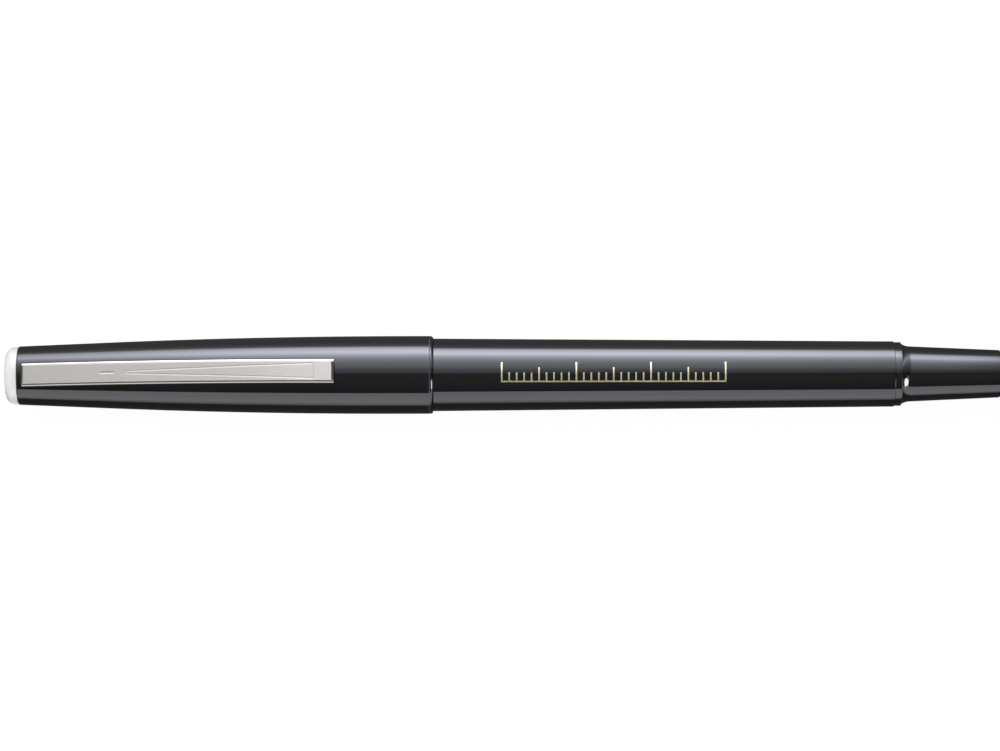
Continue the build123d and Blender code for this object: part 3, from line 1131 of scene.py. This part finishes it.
# Floor
# A large plain white table top. What the camera and polished faces see of it is near white, and a
# share of it is lit by the lamps, so that it keeps the pen's soft shadow.
floor_size = 6000 * mm
floor_glow = 0.965
floor_shadow_share = 0.08
floor_shadow_grey = (floor_shadow_share, floor_shadow_share, floor_shadow_share, 1)
bpy.ops.object.select_all(action="DESELECT")
bpy.ops.mesh.primitive_plane_add(size=floor_size)
floor = bpy.context.object
floor.name = "floor"
white_table = new_material("white_table_top")
path = add_node(white_table, "ShaderNodeLightPath", {})
seen = add_node(
    white_table,
    "ShaderNodeMath",
    {0: path.outputs["Is Camera Ray"], 1: path.outputs["Is Glossy Ray"]},
    operation="MAXIMUM",
)
seen_through = add_node(
    white_table,
    "ShaderNodeMath",
    {0: seen.outputs["Value"], 1: path.outputs["Is Transmission Ray"]},
    operation="MAXIMUM",
)
table_colour = add_node(white_table, "ShaderNodeBsdfDiffuse", {"Color": linear("#d8d8d8")})
shadow_share = add_node(white_table, "ShaderNodeBsdfDiffuse", {"Color": floor_shadow_grey})
glow = add_node(white_table, "ShaderNodeEmission", {"Color": (1, 1, 1, 1), "Strength": floor_glow})
seen_table = add_node(
    white_table, "ShaderNodeAddShader", {0: shadow_share.outputs[0], 1: glow.outputs[0]}
)
both = add_node(
    white_table,
    "ShaderNodeMixShader",
    {0: seen_through.outputs["Value"], 1: table_colour.outputs[0], 2: seen_table.outputs[0]},
)
show(white_table, both)
coat(floor, white_table)


# Studio light
# A curved diffuser behind the pen, brightest low down and fading up towards the camera; a white card in
# front; a lamp at the front right in a short curved reflector; a soft lamp at the rear left; and three
# dim cards on the table, out of the camera's sight, which paint the table's shade beside the pen into
# its polished faces, so that the pen's edges stand dark against white.
sheet_sides = 128
cove_radius = 250 * mm
cove_peak = 12.5
cove_glow = [
    (0, 0.28), (6, 0.6), (14, 0.88), (21, 1), (25, 0.96), (34, 0.6), (47, 0.335), (61, 0.215),
    (71, 0.17), (75, 0.11), (86, 0.07), (90, 0.02),
]
cove_spread = [
    (-200, 0.4), (-110, 0.62), (-55, 0.92), (-20, 1), (45, 1), (105, 0.8), (120, 0.42), (350, 0.3),
    (900, 0.25),
]


def set_stops(ramp, stops):
    """Fills a ramp's stops from (place, level) pairs that run from its first place to its last one."""
    first = stops[0][0]
    whole = stops[-1][0] - first
    points = ramp.color_ramp.elements
    for place, level in stops[1:-1]:
        points.new((place - first) / whole)
    for point, (place, level) in zip(points, stops):
        point.color = (level, level, level, 1)


def curved_sheet(name, radius, side, peak, glow, spread):
    """A glowing quarter of a tube round the pen's line, from the table up to overhead on one side. The
    glow goes by the elevation in degrees, and its spread by the place along the pen in millimetres."""
    left = spread[0][0] * mm
    right = spread[-1][0] * mm
    bpy.ops.object.select_all(action="DESELECT")
    bpy.ops.mesh.primitive_cylinder_add(
        vertices=sheet_sides,
        radius=radius,
        depth=right - left,
        end_fill_type="NOTHING",
        location=((left + right) / 2, 0, axis_z),
        rotation=(0, quarter_turn, 0),
    )
    bpy.ops.object.transform_apply(location=True, rotation=True, scale=True)
    sheet = bpy.context.object
    sheet.name = name
    bpy.ops.object.mode_set(mode="EDIT")
    for direction in ((0, 0, 1), (0, side, 0)):
        bpy.ops.mesh.select_all(action="SELECT")
        bpy.ops.mesh.bisect(plane_co=(0, 0, axis_z), plane_no=direction, clear_inner=True)
    bpy.ops.object.mode_set(mode="OBJECT")
    material = new_material(name)
    place = add_node(material, "ShaderNodeTexCoord", {})
    split = add_node(material, "ShaderNodeSeparateXYZ", {"Vector": place.outputs["Object"]})
    height = add_node(
        material, "ShaderNodeMath", {0: split.outputs["Z"], 1: axis_z}, operation="SUBTRACT"
    )
    away = add_node(material, "ShaderNodeMath", {0: split.outputs["Y"]}, operation="ABSOLUTE")
    elevation = add_node(
        material,
        "ShaderNodeMath",
        {0: height.outputs["Value"], 1: away.outputs["Value"]},
        operation="ARCTAN2",
    )
    rise = add_node(
        material,
        "ShaderNodeMapRange",
        {"Value": elevation.outputs["Value"], "From Min": 0, "From Max": quarter_turn},
    )
    rise_fade = add_node(material, "ShaderNodeValToRGB", {"Fac": rise.outputs["Result"]})
    set_stops(rise_fade, glow)
    run = add_node(
        material,
        "ShaderNodeMapRange",
        {"Value": split.outputs["X"], "From Min": left, "From Max": right},
    )
    run_fade = add_node(material, "ShaderNodeValToRGB", {"Fac": run.outputs["Result"]})
    set_stops(run_fade, spread)
    both_fades = add_node(
        material,
        "ShaderNodeMath",
        {0: rise_fade.outputs["Color"], 1: run_fade.outputs["Color"]},
        operation="MULTIPLY",
    )
    strength = add_node(
        material, "ShaderNodeMath", {0: both_fades.outputs["Value"], 1: peak}, operation="MULTIPLY"
    )
    lit = add_node(
        material,
        "ShaderNodeEmission",
        {"Color": linear("#edf1ff"), "Strength": strength.outputs["Value"]},
    )
    show(material, lit)
    coat(sheet, material)
    sheet.visible_camera = False
    return sheet


cove = curved_sheet("curved_diffuser", cove_radius, 1, cove_peak, cove_glow, cove_spread)
cove.visible_diffuse = False
cove.visible_shadow = False

reflector_radius = 190 * mm
reflector_peak = 5.3
reflector_glow = [(0, 0), (28, 0), (40, 0.4), (56, 1), (66, 0.6), (84, 0), (90, 0)]
reflector_spread = [(150, 0), (175, 1), (225, 1), (250, 0)]
reflector = curved_sheet(
    "curved_reflector", reflector_radius, -1, reflector_peak, reflector_glow, reflector_spread
)
reflector.visible_diffuse = False


def flat_card(name, middle, size, tilt=0):
    """A flat card out of the camera's sight, tilted about the pen's line."""
    bpy.ops.object.select_all(action="DESELECT")
    bpy.ops.mesh.primitive_plane_add(size=1, location=middle, rotation=(tilt, 0, 0))
    card = bpy.context.object
    card.name = name
    card.scale = (*size, 1)
    bpy.ops.object.transform_apply(location=True, rotation=True, scale=True)
    card.visible_camera = False
    return card


card_distance = 140 * mm
card_left = -160 * mm
card_right = 300 * mm
card_height = 93 * mm
card_level = 2.34
card = flat_card(
    "white_card",
    ((card_left + card_right) / 2, -card_distance, card_height / 2),
    (card_right - card_left, card_height),
    tilt=-quarter_turn,
)
lit_card = new_material("lit_white_card")
lit = add_node(lit_card, "ShaderNodeEmission", {"Color": linear("#f7f6ff"), "Strength": card_level})
show(lit_card, lit)
coat(card, lit_card)

# The dim cards are painted shade: the table's shade beside the pen, as its polished faces see it. Their
# glow is lowest near the pen and goes by the distance from the pen's middle in millimetres.
table_card_lift = 0.1 * mm
table_card_length = 260 * mm
end_card_breadth = 10 * mm
front_card_glow = [(5, 0.03), (27, 0.06), (35, 0.4), (52, 0.78), (140, 1)]
rear_card_glow = [(5, 0.06), (15, 0.23), (25, 0.36), (41, 0.5), (70, 0.72)]
end_card_glow = [(68.5, 0.06), (90, 0.12), (130, 0.3)]
for name, axis, side, breadth, peak, glow in (
    ("front_table_shade_card", "Y", -1, table_card_length, 2, front_card_glow),
    ("rear_table_shade_card", "Y", 1, table_card_length, 1, rear_card_glow),
    ("end_table_shade_card", "X", -1, end_card_breadth, 1, end_card_glow),
):
    near_edge = glow[0][0] * mm
    far_edge = glow[-1][0] * mm
    middle = side * (near_edge + far_edge) / 2
    reach = far_edge - near_edge
    if axis == "X":
        table_card = flat_card(name, (middle, 0, table_card_lift), (reach, breadth))
    else:
        table_card = flat_card(name, (0, middle, table_card_lift), (breadth, reach))
    # Painted shade of the table beside the pen, dark near it and lighter further off.
    painted_shade = new_material(name)
    place = add_node(painted_shade, "ShaderNodeTexCoord", {})
    split = add_node(painted_shade, "ShaderNodeSeparateXYZ", {"Vector": place.outputs["Object"]})
    away = add_node(
        painted_shade,
        "ShaderNodeMapRange",
        {"Value": split.outputs[axis], "From Min": side * near_edge, "From Max": side * far_edge},
    )
    fade = add_node(painted_shade, "ShaderNodeValToRGB", {"Fac": away.outputs["Result"]})
    set_stops(fade, glow)
    strength = add_node(
        painted_shade, "ShaderNodeMath", {0: fade.outputs["Color"], 1: peak}, operation="MULTIPLY"
    )
    lit = add_node(painted_shade, "ShaderNodeEmission", {"Strength": strength.outputs["Value"]})
    show(painted_shade, lit)
    coat(table_card, painted_shade)
    table_card.visible_diffuse = False
    table_card.visible_transmission = False
    table_card.visible_shadow = False


def round_lamp(name, place, size, power):
    """A round lamp that faces the pen's middle, out of the camera's sight."""
    bpy.ops.object.light_add(type="AREA", location=place)
    lamp = bpy.context.object
    lamp.name = name
    lamp.data.shape = "DISK"
    lamp.data.size = size
    lamp.data.energy = power
    lamp.visible_camera = False
    lamp.rotation_mode = "QUATERNION"
    lamp.rotation_quaternion = lamp.location.to_track_quat("Z", "Y")
    return lamp


lamp_place = (206 * mm, -110 * mm, 110 * mm)
lamp_size = 120 * mm
lamp_power = 0.62
front_lamp = round_lamp("front_lamp", lamp_place, lamp_size, lamp_power)
front_lamp.visible_diffuse = False
soft_lamp_place = (-165 * mm, 187 * mm, 262 * mm)
soft_lamp_size = 300 * mm
soft_lamp_power = 1.05
soft_lamp = round_lamp("soft_lamp", soft_lamp_place, soft_lamp_size, soft_lamp_power)
soft_lamp.visible_glossy = False

# A dim room, a little lighter overhead. Heights are sines of the elevation.
world = bpy.data.worlds.new("dim_studio")
bpy.context.scene.world = world
world.use_nodes = True
wall_level = 0.12
wall_top = 0.55
ceiling_level = 0.25
ceiling_start = 0.97
background = world.node_tree.nodes["Background"]
place = add_node(world, "ShaderNodeTexCoord", {})
split = add_node(world, "ShaderNodeSeparateXYZ", {"Vector": place.outputs["Generated"]})
overhead = add_node(
    world,
    "ShaderNodeMapRange",
    {
        "Value": split.outputs["Z"],
        "From Min": wall_top,
        "From Max": ceiling_start,
        "To Min": wall_level,
        "To Max": ceiling_level,
    },
)
background.inputs["Color"].default_value = (1, 1, 1, 1)
world.node_tree.links.new(overhead.outputs["Result"], background.inputs["Strength"])


# Camera
# It looks almost straight down on the pen, from a little to the front, through a long lens. The pen's
# length just fills the picture's width.
camera_distance = 585 * mm
camera_elevation = math.radians(87)
camera_lens = 156
camera_aim = (-0.59 * mm, -0.1 * mm, axis_z)
camera_roll = math.radians(-0.11)
camera_place = (
    camera_aim[0],
    camera_aim[1] - camera_distance * math.cos(camera_elevation),
    camera_aim[2] + camera_distance * math.sin(camera_elevation),
)
bpy.ops.object.camera_add(
    location=camera_place, rotation=(quarter_turn - camera_elevation, 0, camera_roll)
)
camera = bpy.context.object
camera.data.lens = camera_lens
bpy.context.scene.camera = camera
bpy.context.scene.view_settings.view_transform = "Standard"
